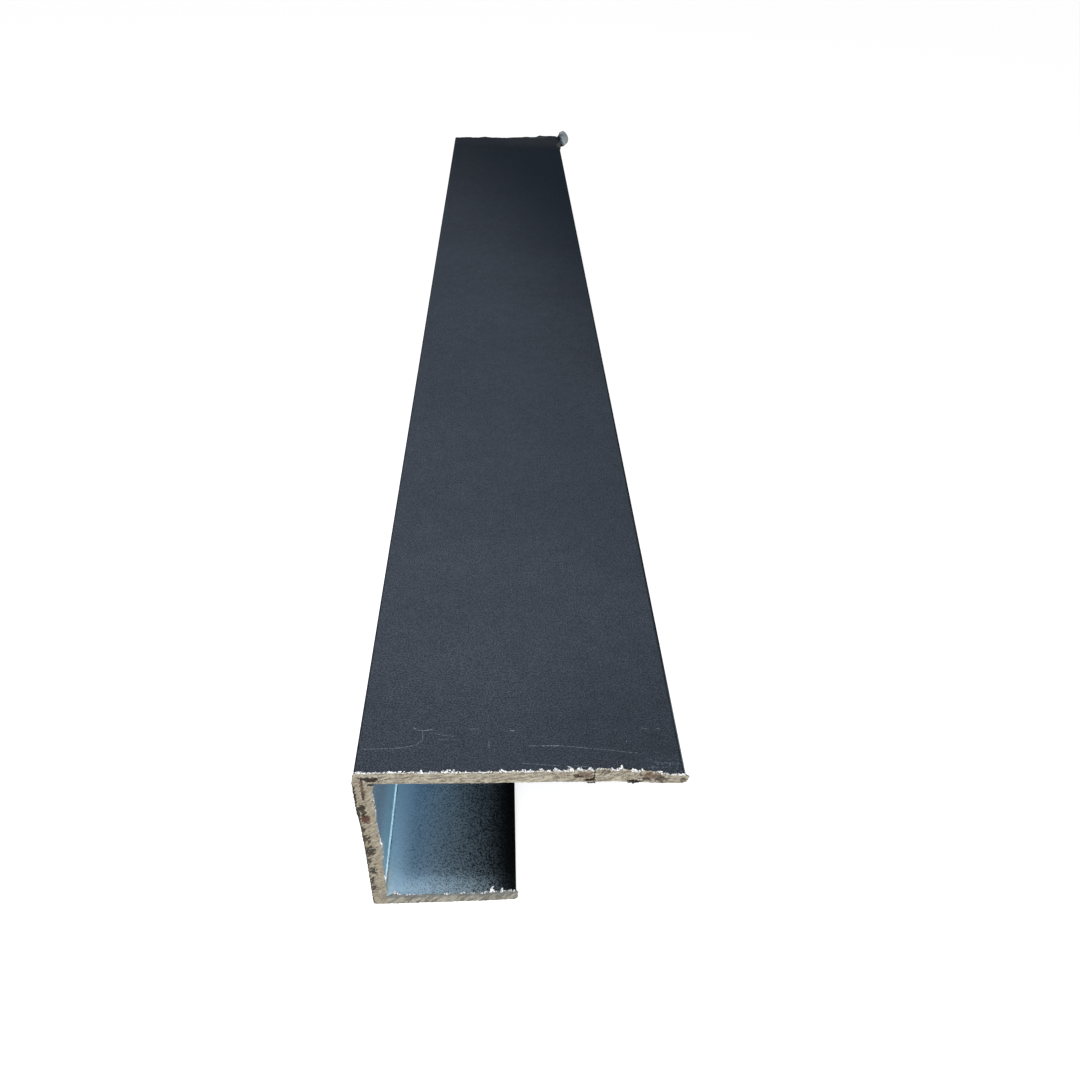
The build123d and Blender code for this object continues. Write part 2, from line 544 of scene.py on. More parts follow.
def crumbs():
    """All the crumbs on the near end, and the flakes of coat under the wide flange."""
    chance = random.Random(7)
    yield from crumbs_on(TOP_Z, TOP_LUMPS, TOP_SMEARS, WEB_X + 0.2, WIDE_X, TOP_CRUMBS, chance)
    yield from crumbs_on(WALL, SHORT_LUMPS, SHORT_SMEARS, INSIDE_X + 0.6, SHORT_X, SHORT_CRUMBS, chance)
    for place, width, count in FLAKES:
        for i in range(count):
            x = place + width * chance.uniform(-1, 1)
            centre = (x, NEAR_Y + near_shift(x, UNDER_Z) + chance.uniform(-0.08, 0.1),
                      UNDER_Z + chance.uniform(-0.16, 0.14) - 0.16 * hump(x, place - 0.1, 0.4))
            vertices, faces, slots = nodule(centre, (chance.uniform(0.1, 0.22), 0.08, 0.07), chance, i)
            yield vertices, faces, [COAT] * len(faces)
    for i in range(WEB_CRUMBS):
        z = chance.uniform(WALL + 0.6, UNDER_Z - 0.6)
        if wobble(0, 0, z, size=2.2, seed=8) < -0.15:
            continue
        small = chance.uniform(0.035, 0.075) + 0.07 * hump(z, 15.2, 0.35) + 0.035 * hump(z, 7.5, 2.5)
        x = INSIDE_X + near_burr(INSIDE_X, z, INNER) + 0.04
        centre = (x, NEAR_Y + near_shift(x, z) + chance.uniform(-0.05, 0.06), z)
        yield nodule(centre, (small, small, small * 1.4), chance, i, detail=1)


def curl(foot, rise, lean, width, seed):
    """One curl of metal that the saw threw up, a thin strip bent over towards its tip."""
    steps, thick, bend = 9, 0.055, 1.7
    vertices, faces = [], []
    for step in range(steps + 1):
        part = step / steps
        half = width / 2 * (1 - 0.8 * part ** 1.5) * (1 + 0.35 * wobble(part, seed, 0, size=0.3, seed=seed))
        centre = (foot[0] + lean[0] * part ** 2 + 0.05 * wobble(part, 0, 0, size=0.3, seed=seed + 5),
                  foot[1] + lean[1] * part ** 2, foot[2] + rise * math.sin(part * bend) / math.sin(bend))
        for side, depth in ((-1, -1), (1, -1), (1, 1), (-1, 1)):
            slack = thick * (1 - 0.6 * part)
            vertices.append((centre[0] + side * half, centre[1] + depth * slack, centre[2]))
    for step in range(steps):
        a = 4 * step
        for corner in range(4):
            b = (corner + 1) % 4
            faces.append((a + corner, a + b, a + 4 + b, a + 4 + corner))
    faces.append((3, 2, 1, 0))
    end = 4 * steps
    faces.append((end, end + 1, end + 2, end + 3))
    return vertices, faces, [BRIGHT] * len(faces)


def curls():
    """The curls that stand out from the burr on the near end."""
    short_face = NEAR_Y + near_shift(6.7, WALL)
    for rows, face_y, edge_z in ((SHORT_CURLS, short_face, WALL), (TOP_CURLS, NEAR_Y, TOP_Z)):
        for x, behind, above, rise, lean, width, seed in rows:
            yield curl((x, face_y + behind, edge_z + above), rise, lean, width, seed)


# Colours, in linear light. Powder coat:
GRAIN_DARK = (0.03, 0.0375, 0.05)
GRAIN_LIGHT = (0.111, 0.132, 0.17)
CLOUDED = (0.038, 0.045, 0.056)
# painted shade, laid on towards the far right corner
PAINTED_FAR_SHADE = (0.003, 0.009, 0.018)
# painted highlight along the wide flange's free edge
PAINTED_EDGE_HIGHLIGHT = (0.22, 0.29, 0.33)
SCRATCHED = (0.46, 0.53, 0.6)
RUBBED = (0.2, 0.27, 0.31)
# painted sheen in a band by the far end
FAR_SHEEN_BAND = (0.045, 0.052, 0.064)
# painted highlight along the far rim
FAR_RIM_HIGHLIGHT = (0.085, 0.1, 0.108)
# painted highlight on the fold before the lip
FOLD_HIGHLIGHT = (0.114, 0.113, 0.11)
# painted shadow in the fold at the lip's root
LIP_ROOT_SHADOW = (0.018, 0.026, 0.032)

# Inside: bare metal, its blue a painted reflection of sky and lighter at the mouth as painted light, the
# powder on it, darkened as painted shade, and the lit metal by the fillet at the web's foot
BARE = (0.44, 0.71, 0.98)
BARE_OPEN_SIDE = (0.5, 0.7, 0.85)
BARE_MOUTH_LIT = (0.58, 0.74, 0.84)
BARE_WEB = (0.47, 0.75, 1.0)
# powder, darkened as painted shade inside the channel
POWDER_IN_SHADE = (0.006, 0.007, 0.008)
LIT_FLOOR = (0.54, 0.81, 1.0)
LIT_WEB = (0.46, 0.82, 1.0)
LIT_FILLET = (0.53, 0.82, 1.0)
LIT_MOUTH = (0.8, 0.96, 1.0)

# Sawn ends
METAL_DARK = (0.14, 0.105, 0.07)
METAL = (0.56, 0.515, 0.41)
METAL_GREY = (0.29, 0.285, 0.25)
METAL_PALE = (0.68, 0.65, 0.56)
METAL_WEB = (0.27, 0.22, 0.145)
CRACK = (0.09, 0.065, 0.045)
SHORT_GREY = (0.22, 0.235, 0.23)
SHORT_BAND = (0.16, 0.178, 0.175)
HATCH_DARK = (0.115, 0.115, 0.1)
HATCH_PALE = (0.52, 0.49, 0.42)
TEAR_DARK = (0.14, 0.115, 0.09)
TEAR_PALE = (0.6, 0.56, 0.47)
STAIN_RED = (0.105, 0.052, 0.034)
STAIN_DARK = (0.02, 0.013, 0.009)
STAIN_HATCHED = (0.034, 0.026, 0.017)
DARK_RIM = (0.03, 0.026, 0.022)
SMEARED = (0.86, 0.88, 0.9)

# Torn lip, and the burrs
SEAM = (0.085, 0.115, 0.145)
TORN_BLUE = (0.48, 0.54, 0.6)
TORN_GREEN = (0.31, 0.365, 0.35)
TORN_TIP = (0.19, 0.225, 0.25)
TORN_UNDERSIDE = (0.14, 0.105, 0.055)
TORN_FLECK = (0.12, 0.13, 0.13)
BURR_SHADE = (0.22, 0.25, 0.29)
BURR_SHINE = (0.93, 0.94, 0.95)


def new_material(name):
    material = bpy.data.materials.new(name)
    material.use_nodes = True
    return material, material.node_tree.nodes["Principled BSDF"]


def feed(node, **inputs):
    """Set a node's inputs, by name or as i and a number; one given as a socket is linked."""
    for key, value in inputs.items():
        place = int(key[1:]) if key[1:].isdigit() else key.replace("_", " ")
        if isinstance(value, bpy.types.NodeSocket):
            node.id_data.links.new(value, node.inputs[place])
        else:
            node.inputs[place].default_value = value


def add(kind, settings=None, **inputs):
    """A node with its settings and inputs, in the node tree that the inputs come from."""
    sockets = [value for value in inputs.values() if isinstance(value, bpy.types.NodeSocket)]
    made = sockets[0].id_data.nodes.new(kind)
    for key, value in (settings or {}).items():
        setattr(made, key, value)
    feed(made, **inputs)
    return made


def calc(operation, *values):
    return add("ShaderNodeMath", {"operation": operation},
               **{f"i{i}": value for i, value in enumerate(values)}).outputs[0]


def total(first, *others):
    for other in others:
        first = calc("ADD", first, other)
    return first


def product(first, *others):
    for other in others:
        first = calc("MULTIPLY", first, other)
    return first


def less(value, amount):
    return calc("SUBTRACT", value, amount)


def without(part):
    """What a part leaves of 1."""
    return calc("SUBTRACT", 1.0, part)


def larger(first, second):
    return calc("MAXIMUM", first, second)


def squares(*values):
    """The sum of the values' squares."""
    return total(*[product(value, value) for value in values])


def scaled(value, factor, centre=0.5):
    """A noise value made to swing round 0, times a factor."""
    return product(less(value, centre), factor)


def off_centre(value, centre, half):
    """How far a value lies from a centre, in half sizes."""
    return calc("DIVIDE", less(value, centre), half)


def ramp(value, low, high, out_low=0.0, out_high=1.0):
    """A smooth step from one output to the other."""
    return add("ShaderNodeMapRange", {"interpolation_type": "SMOOTHSTEP"}, Value=value,
               From_Min=low, From_Max=high, To_Min=out_low, To_Max=out_high).outputs[0]


def blend(part, first, second):
    """One colour mixed into another; a mix node's colours are its inputs 6 and 7 and its output 2."""
    first, second = [(*value, 1) if isinstance(value, tuple) else value for value in (first, second)]
    return add("ShaderNodeMix", {"data_type": "RGBA"}, i0=part, i6=first, i7=second).outputs[2]


def lay(colour, tone, *masks):
    """A tone laid over a colour, as strongly as the product of the masks."""
    return blend(product(*masks), colour, tone)


def darken(colour, factor):
    """A colour times a grey factor."""
    return add("ShaderNodeVectorMath", {"operation": "SCALE"}, i0=colour, Scale=factor).outputs[0]


def millimetres(material):
    """The place on the part in millimetres, whole and split."""
    place = material.node_tree.nodes.new("ShaderNodeTexCoord").outputs["Object"]
    whole = add("ShaderNodeVectorMath", {"operation": "SCALE"}, i0=place, Scale=1 / MM).outputs[0]
    split = add("ShaderNodeSeparateXYZ", i0=whole)
    return whole, *split.outputs


def noise_of(place, size, detail=3, roughness=0.55):
    """Fractal noise with features about size millimetres wide."""
    return add("ShaderNodeTexNoise", Vector=place, Scale=1 / size, Detail=detail,
               Roughness=roughness).outputs[0]


def streaks_of(place, size, long, angle, detail=3, roughness=0.55):
    """Noise drawn out long times its size, in a direction that rises by angle in the XZ plane."""
    turned = add("ShaderNodeMapping", Vector=place, Rotation=(0, angle, 0)).outputs[0]
    drawn = add("ShaderNodeMapping", Vector=turned, Scale=(1 / long, 1, 1)).outputs[0]
    return noise_of(drawn, size, detail, roughness)


def bump_of(height, distance):
    return add("ShaderNodeBump", Height=height, Distance=distance * MM).outputs[0]


def stroke(x, y, start, end, width, grit):
    """1 on a straight scratch between two points of the top face, broken up by grit."""
    dx, dy = end[0] - start[0], end[1] - start[1]
    length = math.hypot(dx, dy)
    from_x, from_y = less(x, start[0]), less(y, start[1])
    along = total(product(from_x, dx / length), product(from_y, dy / length))
    across = less(product(from_x, dy / length), product(from_y, dx / length))
    beyond = less(along, calc("MINIMUM", larger(along, 0.0), length))
    gap = calc("SQRT", squares(across, beyond))
    gap = total(gap, scaled(grit, width * 3.4, 0.46))
    return ramp(gap, width, 0.0)


# Scratches on the top face by the near end: how plain each is, and its points in millimetres
SCRATCH_WIDTH = 0.07
SCRATCHES = (
    (0.55, (-3.2, -143.1), (-2.7, -143.5), (-1.5, -143.5), (-0.9, -143.3)),
    (0.34, (-2.1, -143.6), (-2.0, -145.0), (-2.8, -145.8), (-4.7, -146.2), (-9.0, -146.4)),
    (0.22, (-0.4, -144.1), (1.9, -144.5)),
    (0.2, (-0.1, -144.9), (2.0, -145.0)),
    (0.4, (3.8, -143.3), (4.9, -143.3)),
    (0.75, (8.9, -143.6), (9.35, -143.6)),
    (0.3, (6.2, -145.1), (6.25, -146.3)),
    (0.85, (12.9, -146.0), (14.9, -146.0)),
    (0.32, (11.2, -146.0), (15.2, -146.0), (18.7, -146.4), (22.0, -146.8), (24.6, -147.2)),
    (0.34, (10.3, -148.6), (14.9, -149.0)),
    (0.4, (16.6, -149.0), (18.5, -149.2)),
    (1.0, (23.4, -145.4), (23.4, -145.5)),
    (0.42, (25.6, -143.3), (26.2, -143.4)),
    (0.34, (27.4, -143.4), (28.0, -143.4)),
)


def near_marks(colour, place, x, y):
    """The scratches by the near end, and the coat rubbed thin at its free corner."""
    grit = noise_of(place, 0.18, 2)
    marks = 0.0
    for plain, *route in SCRATCHES:
        for start, end in zip(route, route[1:]):
            mark = product(stroke(x, y, start, end, SCRATCH_WIDTH, grit), plain)
            marks = larger(marks, mark)
    colour = lay(colour, SCRATCHED, marks)
    patchy = ramp(noise_of(place, 0.5, 4, 0.7), 0.5, 0.66, 0, 0.5)
    return lay(colour, RUBBED, ramp(x, 23.5, 27), ramp(y, NEAR_Y + 2.8, NEAR_Y + 0.6), patchy)


def far_marks(colour, place, x, y):
    """A painted sheen band and a painted rim highlight at the far end, and a painted highlight on the fold
    and a painted shadow at the root by the lip.
    """
    ragged_y = total(y, scaled(noise_of(place, 3), 9))
    # Painted sheen in a ragged band by the far end, then a painted highlight along its rim
    colour = lay(colour, FAR_SHEEN_BAND, ramp(ragged_y, FAR_Y - 17, FAR_Y - 4, 0, 0.85), ramp(x, 4, 15, 0.6, 1))
    colour = lay(colour, FAR_RIM_HIGHLIGHT, ramp(y, FAR_Y - 2.5, FAR_Y - 0.5), ramp(x, 13, 20), ramp(x, 27, 24, 0, 0.7))
    # A painted highlight on the folded crest before the lip
    off_x = off_centre(x, WIDE_X + 0.5, 1.6)
    off_y = off_centre(y, FAR_Y - 10.5, 4.4)
    colour = lay(colour, FOLD_HIGHLIGHT, ramp(squares(off_x, off_y), 1.3, 0.3, 0, 0.9))
    # A painted shadow in the fold at the lip's root
    return lay(colour, LIP_ROOT_SHADOW, ramp(x, WIDE_X - 1.4, WIDE_X + 0.2), ramp(y, FAR_Y - 5.5, FAR_Y - 3.5))


def rim_shade(x, z):
    """A grey factor that darkens the top face along its two long edges."""
    from_edge = calc("MINIMUM", less(x, WEB_X), less(WIDE_X, x))
    off_top = larger(ramp(z, TOP_Z + 0.2, TOP_Z + 0.6), ramp(z, TOP_Z - 0.3, TOP_Z - 0.9))
    return larger(ramp(from_edge, 0.1, 0.4, 0.3, 1.0), off_top)


def coat_material(marked):
    """Dark fine-textured powder coat; the marked one has the scratches by the near end. Painted shade,
    painted sheen and painted highlights lie in its colour.
    """
    material, shader = new_material("scratched_coat_skin" if marked else "powder_coat_skin")
    place, x, y, z = millimetres(material)
    grain = noise_of(place, 0.2, 4, 0.68)
    coarse = noise_of(place, 0.7, 3, 0.6)
    patch = noise_of(place, 2.2, 2)
    cloud = noise_of(place, 26, 3, 0.5)
    colour = blend(ramp(grain, 0.36, 0.66), GRAIN_DARK, GRAIN_LIGHT)
    colour = lay(colour, CLOUDED, ramp(cloud, 0.3, 0.7, 0.05, 0.25))
    colour = darken(colour, total(scaled(patch, 0.3), scaled(coarse, 0.65), 1.0))
    # Painted shade: the top face darker towards its right edge, by the near end, and strongly towards the far
    # right corner
    colour = darken(colour, ramp(x, 6, WIDE_X + 4, 1.0, 0.82))
    colour = darken(colour, ramp(y, NEAR_Y + 26, NEAR_Y + 2, 1.0, 0.82))
    far_right = total(y, product(x, 2.4))
    colour = lay(colour, PAINTED_FAR_SHADE, ramp(far_right, 0, 165, 0, 0.75))
    colour = darken(colour, rim_shade(x, z))
    # A painted highlight along the wide flange's free edge by the near end
    colour = lay(colour, PAINTED_EDGE_HIGHLIGHT, ramp(x, WIDE_X - 0.15, WIDE_X),
                 ramp(y, NEAR_Y + 22, NEAR_Y + 8, 0, 0.6), ramp(z, TOP_Z - 0.5, TOP_Z - 0.1))
    add_marks = near_marks if marked else far_marks
    colour = add_marks(colour, place, x, y)
    feed(shader, Base_Color=colour, Roughness=ramp(grain, 0.3, 0.7, 0.85, 0.75),
         Normal=bump_of(grain, 0.04), Specular_IOR_Level=0.015)
    return material


def inside_material():
    """Mill-finish metal inside the channel, where the powder thickens towards the open side. Its colour holds
    a painted reflection of sky, painted light by the web, the fillet and the mouth, and painted shade deeper
    in and towards the open side.
    """
    material, shader = new_material("inside_skin")
    place, x, y, z = millimetres(material)

    # Places: the web, the fillet, and the channel's mouth at the near end
    from_mouth = less(y, NEAR_Y)
    on_web = ramp(x, INSIDE_X + 0.5, INSIDE_X + 0.2)
    fillet = product(ramp(x, INSIDE_X + 0.42, INSIDE_X + 0.34), ramp(z, WALL + 1.2, WALL + 0.4))
    at_mouth = product(ramp(x, INSIDE_X + 1.8, INSIDE_X + 0.6), ramp(from_mouth, 7, 1))

    # Specks of powder, and how closely they cover the metal
    fine = noise_of(place, 0.17, 2, 0.7)
    mottle = noise_of(place, 0.36, 3, 0.65)
    cells = add("ShaderNodeTexVoronoi", Vector=place, Scale=1 / 0.23).outputs["Distance"]
    cells = total(cells, scaled(mottle, -1.1), scaled(fine, -0.7))
    speck = ramp(cells, 0.75, 0.05)
    cloud = noise_of(place, 4, 3)
    across = total(x, scaled(cloud, 2.5), ramp(from_mouth, 5, 1, 0, -2.8))
    up_web = product(on_web, ramp(z, WALL + 1, WALL + 10, 0.0, 0.18))
    cover = total(ramp(across, -16.6, 12.8), up_web, scaled(speck, 0.25))
    coated = product(ramp(cover, 0.1, 1.0), without(fillet))

    # The bare metal's blue is a painted reflection of sky, and it is lightened as painted light at the mouth
    bare = blend(ramp(across, -7, 3), BARE, BARE_OPEN_SIDE)
    bare = lay(bare, BARE_MOUTH_LIT, ramp(from_mouth, 5, 1, 0, 0.6))
    bare = lay(bare, BARE_WEB, on_web)
    # The powder is far darker than the outer coat, as painted shade inside the channel
    colour = lay(bare, POWDER_IN_SHADE, coated)
    dotted = larger(ramp(across, -9, 4, 0.25, 0.5), product(on_web, 0.35))
    dots = product(ramp(speck, 0.4, 0.85), dotted, ramp(from_mouth, 3, 14, 1.15, 0.75))
    colour = darken(colour, without(dots))
    colour = darken(colour, total(scaled(mottle, 0.3), 1.0))
    # Painted shade: a dip in brightness a few millimetres in from the mouth, and the web darker towards its
    # top
    deep = larger(ramp(from_mouth, 4.5, 1.5, 0.55, 0.82), ramp(from_mouth, 5, 18, 0.55, 0.82))
    web_top_shade = product(on_web, ramp(z, WALL + 15, WALL + 6, 0.68, 1.0))
    colour = darken(colour, larger(deep, web_top_shade))

    # Light that the fillet and the metal on both sides of it throw back
    floor_glow = product(ramp(x, INSIDE_X + 4.2, INSIDE_X + 0.3),
                         ramp(from_mouth, 12, 2, 1.0, 0.9), without(on_web))
    web_glow = product(on_web, ramp(z, WALL + 11, WALL + 1.5, 0.0, 0.95))
    glow = larger(floor_glow, web_glow)
    lit = blend(on_web, LIT_FLOOR, LIT_WEB)
    lit = lay(lit, LIT_MOUTH, at_mouth)
    colour = lay(colour, lit, glow, ramp(mottle, 0.35, 0.65, 1.0, 0.75))
    # Painted shade towards the short flange's free edge, under the wide flange
    colour = darken(colour, ramp(x, SHORT_X - 0.4, SHORT_X - 4.5, 0.12, 1.0))
    colour = lay(colour, blend(at_mouth, LIT_FILLET, LIT_MOUTH), fillet)

    shiny = product(ramp(coated, 0, 1, 0.3, 0.0), without(glow))
    mirror = product(fillet, ramp(from_mouth, 1.5, 5, 0.3, 0.85))
    roughness = less(ramp(coated, 0, 1, 0.4, 0.6), product(fillet, 0.26))
    feed(shader, Base_Color=colour, Metallic=total(shiny, mirror), Roughness=roughness,
         Normal=bump_of(speck, 0.012), Specular_IOR_Level=0.04)
    return material


# Stains on the near sawn face, in millimetres: centre, half sizes and strength
DARK_STAINS = (
    (-7.9, 28.85, 1.3, 0.5, 1.0), (-9.05, 28.3, 0.14, 0.9, 0.35), (-9.2, 25.4, 0.2, 0.9, 0.6),
    (-9.45, 22.9, 0.5, 0.9, 0.95), (-9.25, 21.9, 0.35, 0.8, 0.9), (-8.0, 27.75, 0.5, 0.3, 0.8),
    (-10.1, 25.4, 0.14, 1.9, 0.9), (-10.0, 21.6, 0.2, 1.5, 0.9), (19.05, 29.2, 0.13, 1.0, 0.9),
    (18.7, 28.4, 0.75, 0.2, 1.0), (24.1, 28.15, 1.0, 0.28, 1.0), (17.2, 29.15, 0.6, 0.22, 0.85),
    (20.4, 29.8, 0.6, 0.35, 0.55), (29.9, 28.9, 0.35, 0.5, 0.8), (27.4, 28.9, 0.8, 0.7, 0.7),
    (25.4, 28.7, 0.6, 0.4, 0.7), (5.4, 28.2, 0.5, 0.1, 0.6),
)
RED_STAINS = (
    (-9.3, 20.7, 0.6, 1.2, 1.0), (-9.1, 26.8, 0.26, 2.4, 0.8), (18.0, 29.3, 1.1, 0.6, 0.65),
    (26.0, 29.4, 1.4, 1.0, 0.7),
)
HATCHED_STAINS = (
    (-9.75, 18.3, 0.25, 0.6, 0.9), (-9.55, 16.3, 0.45, 0.8, 0.9), (-9.3, 13.2, 0.6, 1.2, 0.95),
    (-9.6, 11.1, 0.35, 0.6, 0.9), (-9.35, 8.5, 0.5, 1.0, 0.95), (-9.6, 6.2, 0.35, 0.7, 0.9),
    (-9.45, 4.1, 0.5, 0.8, 0.95),
)


def stained(colour, x, z, stains, ragged, tone):
    """A colour with stains laid over it, their outlines broken up by the ragged noise."""
    for centre_x, centre_z, half_x, half_z, strength in stains:
        off_x = off_centre(x, centre_x, half_x)
        off_z = off_centre(z, centre_z, half_z)
        away = total(calc("SQRT", squares(off_x, off_z)), ragged)
        colour = lay(colour, tone, ramp(away, 1.1, 0.85, 0, strength))
    return colour


def hatched(colour, place, x, z, broad, fine):
    """The short flange's sawn face: greyer, hatched by the saw and darker along its upper edge."""
    low = product(ramp(z, WALL + 1.5, WALL), ramp(x, INSIDE_X - 0.1, INSIDE_X + 1.0))
    hatch = streaks_of(place, 0.75, 3, 0.9, 3, 0.6)
    ragged_z = total(z, scaled(fine, 1.4), scaled(broad, 0.8))
    colour = lay(colour, SHORT_GREY, low, 0.35)
    colour = lay(colour, HATCH_DARK, low, ramp(hatch, 0.5, 0.58, 0, 0.65))
    colour = lay(colour, HATCH_PALE, low, ramp(hatch, 0.47, 0.4, 0, 0.6))
    return lay(colour, SHORT_BAND, low, ramp(ragged_z, WALL - 0.75, WALL - 0.4, 0, 0.8))


def torn_up(colour, place, x, z):
    """The rugged stretch of the wide flange's sawn face, in dark and pale streaks."""
    rugged = streaks_of(place, 0.28, 2.2, 1.15, 4, 0.7)
    stretch = product(ramp(x, 13, 17), ramp(x, 28.3, 27.2), ramp(z, TOP_Z - 1.9, TOP_Z - 0.6, 0.25, 1.0))
    colour = lay(colour, TEAR_DARK, stretch, ramp(rugged, 0.52, 0.62, 0, 0.9))
    return lay(colour, TEAR_PALE, stretch, ramp(rugged, 0.42, 0.34, 0, 0.7))


def dark_rim(x, z, fine):
    """1 along the web's outer edge and the underside of the sawn face, where the coat's edge shows."""
    from_web = total(x, ramp(z, 18, 23.5, -(WEB_X + 0.05), -(WEB_X - 0.24)), scaled(fine, 1.0))
    web_edge = product(ramp(from_web, 0.26, 0.08), ramp(z, 28.2, 27.4, 0, 0.85))
    underside = product(ramp(total(z, scaled(fine, 0.4)), 0.16, 0.0), 0.7)
    return larger(web_edge, underside)


def smeared(place, x, z, broad, fine):
    """1 where raw metal stands above the top edge and its smears, in patches."""
    smear = 0.0
    for centre, width, tall in TOP_SMEARS:
        off = off_centre(x, centre, width)
        bell = calc("EXPONENT", product(squares(off), -1.0))
        smear = total(smear, product(bell, tall + 0.1))
    ragged_z = total(z, scaled(fine, 0.6), scaled(broad, 0.3))
    over_top = ramp(less(ragged_z, smear), TOP_Z - 0.02, TOP_Z + 0.06)
    return product(over_top, ramp(noise_of(place, 0.5, 2), 0.44, 0.52))


def sawn_material():
    """Raw metal of the sawn ends: warm grey, streaked, stained, and bright at the burrs."""
    material, shader = new_material("sawn_skin")
    place, x, y, z = millimetres(material)
    broad = noise_of(place, 1.3, 4, 0.6)
    fine = noise_of(place, 0.3, 4, 0.65)
    steep = streaks_of(place, 0.2, 4, 0.8, 4, 0.62)
    shallow = streaks_of(place, 0.26, 5, 0.2, 4, 0.62)
    on_web = product(ramp(x, WEB_X + WALL + 0.6, WEB_X + WALL + 0.1), ramp(z, UNDER_Z + 0.2, UNDER_Z - 0.4))
    on_top = ramp(z, UNDER_Z - 0.4, UNDER_Z + 0.2)
    streak = total(product(on_top, shallow), product(without(on_top), steep))
    mottle = total(product(streak, 0.6), product(fine, 0.4))
    colour = blend(ramp(mottle, 0.34, 0.6), METAL_DARK, METAL)
    colour = lay(colour, METAL_GREY, ramp(broad, 0.5, 0.7, 0, 0.5))
    colour = lay(colour, METAL_PALE, ramp(fine, 0.62, 0.76, 0, 0.75))
    colour = lay(colour, METAL_WEB, on_web, 0.3)
    colour = hatched(colour, place, x, z, broad, fine)
    off_crack = calc("ABSOLUTE", less(mottle, 0.47))
    clean = lay(colour, CRACK, ramp(off_crack, 0.012, 0.0, 0, 0.45))

    # Only the near end is torn, stained and smeared
    near = ramp(y, 0.0, -1.0)
    blotch = total(scaled(streak, 1.6), scaled(fine, 2.2))
    colour = torn_up(clean, place, x, z)
    colour = stained(colour, x, z, RED_STAINS, blotch, STAIN_RED)
    colour = stained(colour, x, z, DARK_STAINS, blotch, STAIN_DARK)
    colour = stained(colour, x, z, HATCHED_STAINS, scaled(steep, 6.0), STAIN_HATCHED)
    colour = lay(colour, DARK_RIM, dark_rim(x, z, fine))
    bright = product(smeared(place, x, z, broad, fine), near)
    colour = blend(near, clean, lay(colour, SMEARED, bright))
    feed(shader, Base_Color=colour, Metallic=product(bright, 0.5),
         Roughness=ramp(streak, 0.3, 0.7, 0.62, 0.45), Normal=bump_of(mottle, 0.14),
         Specular_IOR_Level=0.12)
    return material


def torn_material():
    """Torn metal of the lip: dark at its seam with the coat, then bluish, then greener."""
    material, shader = new_material("torn_skin")
    place, x, y, z = millimetres(material)
    broad = noise_of(place, 0.9, 4, 0.6)
    fine = noise_of(place, 0.25, 3, 0.6)
    past_seam = total(less(x, WIDE_X + SEAM_OUT), scaled(z, SEAM_SLOPE, SEAM_Z), scaled(broad, 0.8))
    colour = blend(ramp(past_seam, 0.25, 1.3), SEAM, TORN_BLUE)
    colour = lay(colour, TORN_GREEN, ramp(past_seam, 1.3, 2.0))
    colour = lay(colour, TORN_TIP, ramp(z, TOP_Z + 1.3, TOP_Z + 2.1, 0, 0.7))
    colour = lay(colour, TORN_UNDERSIDE, ramp(z, TOP_Z - 1.3, TOP_Z - 1.9))
    colour = lay(colour, TORN_FLECK, ramp(fine, 0.55, 0.7, 0, 0.3))
    feed(shader, Base_Color=colour, Normal=bump_of(broad, 0.2), Roughness=0.5, Metallic=0.3)
    return material


def burr_material():
    """Freshly turned-up metal of the burrs."""
    material, shader = new_material("burr_skin")
    place, x, y, z = millimetres(material)
    fleck = noise_of(place, 0.22, 3, 0.6)
    colour = blend(ramp(fleck, 0.4, 0.52), BURR_SHADE, BURR_SHINE)
    feed(shader, Base_Color=colour, Roughness=ramp(fleck, 0.3, 0.7, 0.5, 0.3),
         Normal=bump_of(fleck, 0.04), Metallic=0.5)
    return material


def new_object(name, data):
    made = bpy.data.objects.new(name, data)
    bpy.context.collection.objects.link(made)
    return made


def build_profile():
    """Channel, lip, curls and crumbs in one mesh; its materials stand in the slots' order."""
    vertices, faces, slots = profile_mesh()
    for more_vertices, more_faces, more_slots in [lip_mesh(), *curls(), *crumbs()]:
        start = len(vertices)
        vertices += more_vertices
        faces += [tuple(start + corner for corner in face) for face in more_faces]
        slots += more_slots
    mesh = bpy.data.meshes.new("channel_profile_skin")
    mesh.from_pydata([tuple(MM * value for value in vertex) for vertex in vertices], [], faces)
    for material in (coat_material(False), coat_material(True), inside_material(), sawn_material(),
                     torn_material(), burr_material()):
        mesh.materials.append(material)
    mesh.polygons.foreach_set("material_index", slots)
    mesh.update()
    work = bmesh.new()
    work.from_mesh(mesh)
    bmesh.ops.recalc_face_normals(work, faces=work.faces)
    work.to_mesh(mesh)
    work.free()
    mesh.shade_smooth()
    mesh.set_sharp_from_angle(angle=math.radians(SHARP_DEGREES))
    piece = new_object("channel_profile_skin", mesh)
    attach(piece, "root")
    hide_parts("channel_profile")


def seen_rays(tree):
    """1 for rays that see the background straight, in a reflection or through glass."""
    path = tree.nodes.new("ShaderNodeLightPath")
    seen = larger(path.outputs["Is Camera Ray"], path.outputs["Is Glossy Ray"])
    return larger(seen, path.outputs["Is Transmission Ray"])


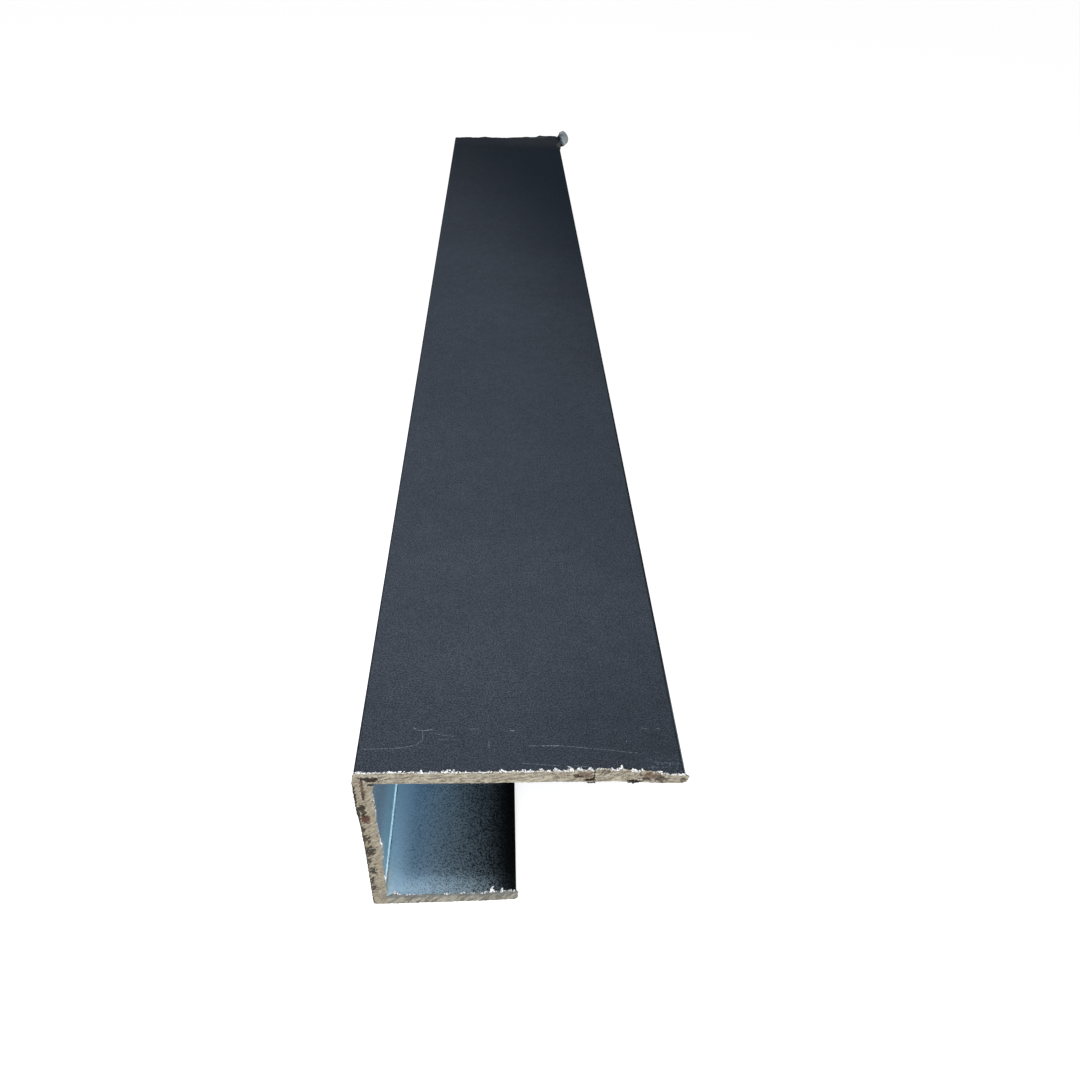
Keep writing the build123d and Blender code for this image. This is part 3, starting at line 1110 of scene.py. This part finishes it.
def build_floor():
    """A wide pale floor under the part, lifted towards white where it is seen."""
    mesh = bpy.data.meshes.new("floor")
    reach = 6.0
    drop = 0.02 * MM  # keeps the floor and the underside from lying in one plane
    corners = [(-reach, -reach, -drop), (reach, -reach, -drop), (reach, reach, -drop), (-reach, reach, -drop)]
    mesh.from_pydata(corners, [], [(0, 1, 2, 3)])
    material, shader = new_material("floor")
    feed(shader, Base_Color=(0.9, 0.9, 0.9, 1), Roughness=0.9, Specular_IOR_Level=0.1,
         Emission_Color=(1, 1, 1, 1), Emission_Strength=product(seen_rays(material.node_tree), 0.72))
    mesh.materials.append(material)
    floor = new_object("floor", mesh)


def softbox(name, place, target, size, power):
    data = bpy.data.lights.new(name, "AREA")
    data.shape = "SQUARE"
    data.size = size
    data.energy = power
    lamp = new_object(name, data)
    aim = (Vector(target) - Vector(place)).to_track_quat("-Z", "Y")
    lamp.matrix_world = Matrix.Translation(place) @ aim.to_matrix().to_4x4()


def build_light():
    """An even pale world that looks white where it is seen, and two soft lamps."""
    world = bpy.data.worlds.new("world")
    bpy.context.scene.world = world
    world.use_nodes = True
    strength = ramp(seen_rays(world.node_tree), 0, 1, 0.26, 1.0)
    feed(world.node_tree.nodes["Background"], Color=(1, 1, 1, 1), Strength=strength)
    softbox("key", (-0.06, -0.26, 0.33), (0, -0.13, 0.02), 0.26, 0.8)
    softbox("front", (0.0, -0.55, 0.22), (0, -0.14, 0.0), 0.25, 0.6)


def build_camera():
    """The photograph's camera, as solved from its edges and their vanishing point."""
    place = Vector((6.957, -214.229, 116.42)) * MM
    pitch, yaw, roll = 0.6675, 0.0643, -0.0465
    focal_px, frame_px = 864.98, 1080
    turn = (Matrix.Rotation(-yaw, 4, "Z") @ Matrix.Rotation(math.pi / 2 - pitch, 4, "X")
            @ Matrix.Rotation(-roll, 4, "Z"))
    data = bpy.data.cameras.new("camera")
    data.sensor_fit = "HORIZONTAL"
    data.sensor_width = 36
    data.lens = focal_px / frame_px * data.sensor_width
    data.clip_start = 0.005
    shot = new_object("camera", data)
    shot.matrix_world = Matrix.Translation(place) @ turn
    bpy.context.scene.camera = shot


build_profile()
build_floor()
build_light()
build_camera()
bpy.context.scene.view_settings.view_transform = "Standard"
